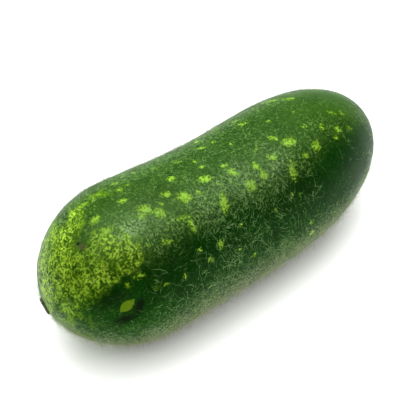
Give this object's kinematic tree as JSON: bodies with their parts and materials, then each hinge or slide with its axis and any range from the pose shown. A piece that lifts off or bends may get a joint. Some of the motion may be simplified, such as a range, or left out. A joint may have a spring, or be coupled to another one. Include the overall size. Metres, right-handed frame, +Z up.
{
  "type": "hairy gourd",
  "caption": "Whole hairy gourd, a blunt waisted green fruit, lying on its side with its dried flower scar and a short cut stem stub.",
  "frame": {"origin": "middle of the small flat under the fruit on which it lies", "axes": "+Z up, +X along the fruit from the blossom end to the stem end, +Y to the side that the ends bow towards"},
  "size_m": [0.1878, 0.0721, 0.071],
  "materials": {
    "skin": "dark green hairy rind with yellow-green flecks, mottled at the blossom end, soft waxy sheen",
    "scar": "dry dark brown corky scar",
    "stem": "pale green fibrous stem with a dry cut end"
  },
  "bodies": {
    "root": {"gourd": "skin", "blossom_scar": "scar", "stem_stub": "stem"}
  },
  "joints": []
}
